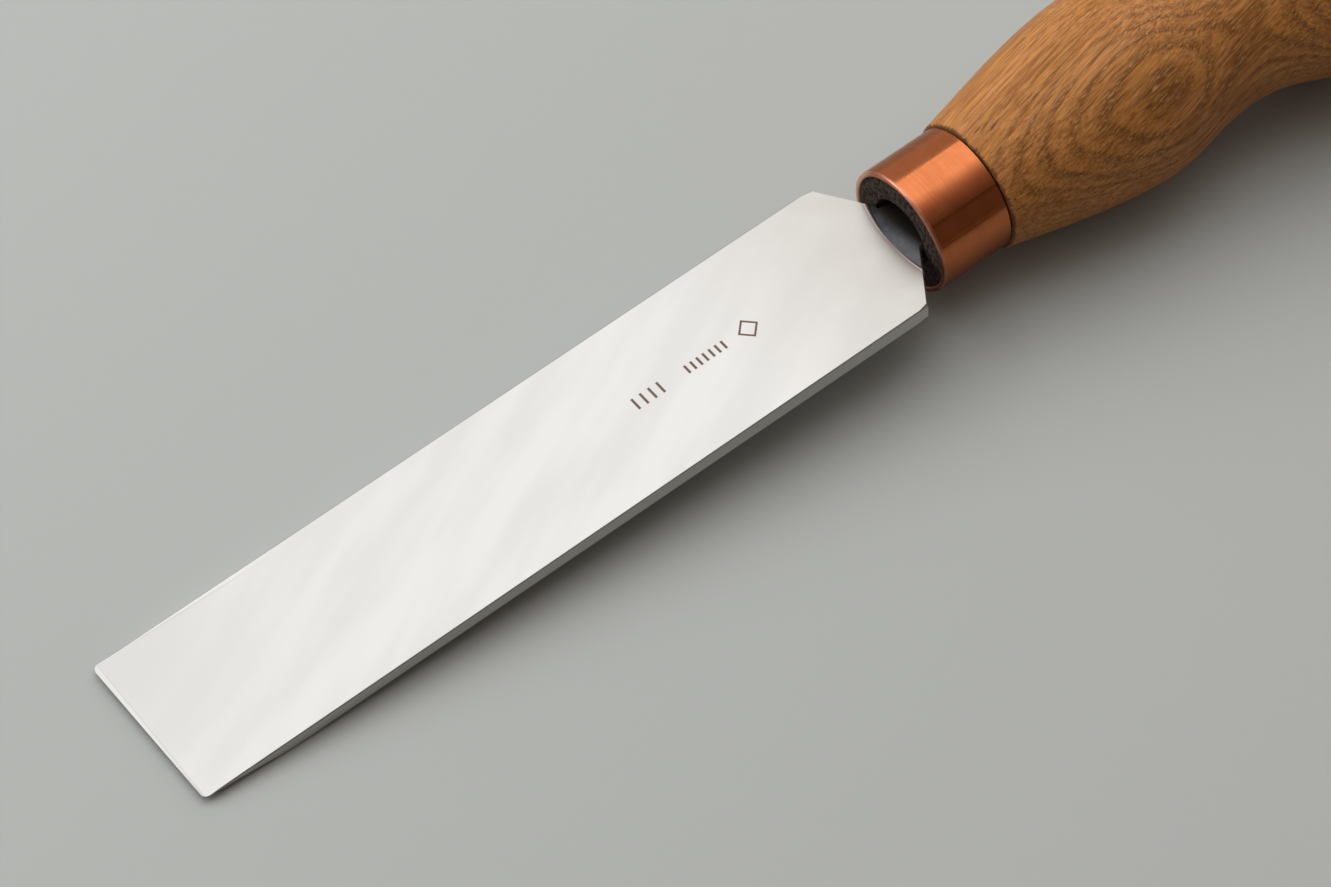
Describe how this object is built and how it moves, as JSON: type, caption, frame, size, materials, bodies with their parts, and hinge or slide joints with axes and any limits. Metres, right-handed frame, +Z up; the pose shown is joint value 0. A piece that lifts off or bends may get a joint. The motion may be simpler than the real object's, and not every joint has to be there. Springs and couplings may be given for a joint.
{
  "type": "straight carving chisel",
  "caption": "Flat straight woodcarving chisel with sloping shoulders, a plain copper ferrule and a turned hardwood handle with a waist and a bulb.",
  "frame": {"origin": "centre of the part's box, on the surface that the tool lies on", "axes": "+X from the cutting edge towards the handle, +Z up, +Y across the blade; the tool lies face up on the heel of its bevel and its handle, so its own axis rises 5.4 degrees towards the handle"},
  "size_m": [0.249, 0.037, 0.038],
  "materials": {
    "ground_steel": "fine satin grind on the blade, dark blue-grey forging scale on the neck",
    "copper": "satin copper with a rounded front rim",
    "hardwood": "oiled ring-porous hardwood with open pores along the tool",
    "resin": "dark set adhesive"
  },
  "bodies": {
    "root": {"blade": "ground_steel", "ferrule": "copper", "handle": "hardwood", "tang_resin": "resin"}
  },
  "joints": []
}
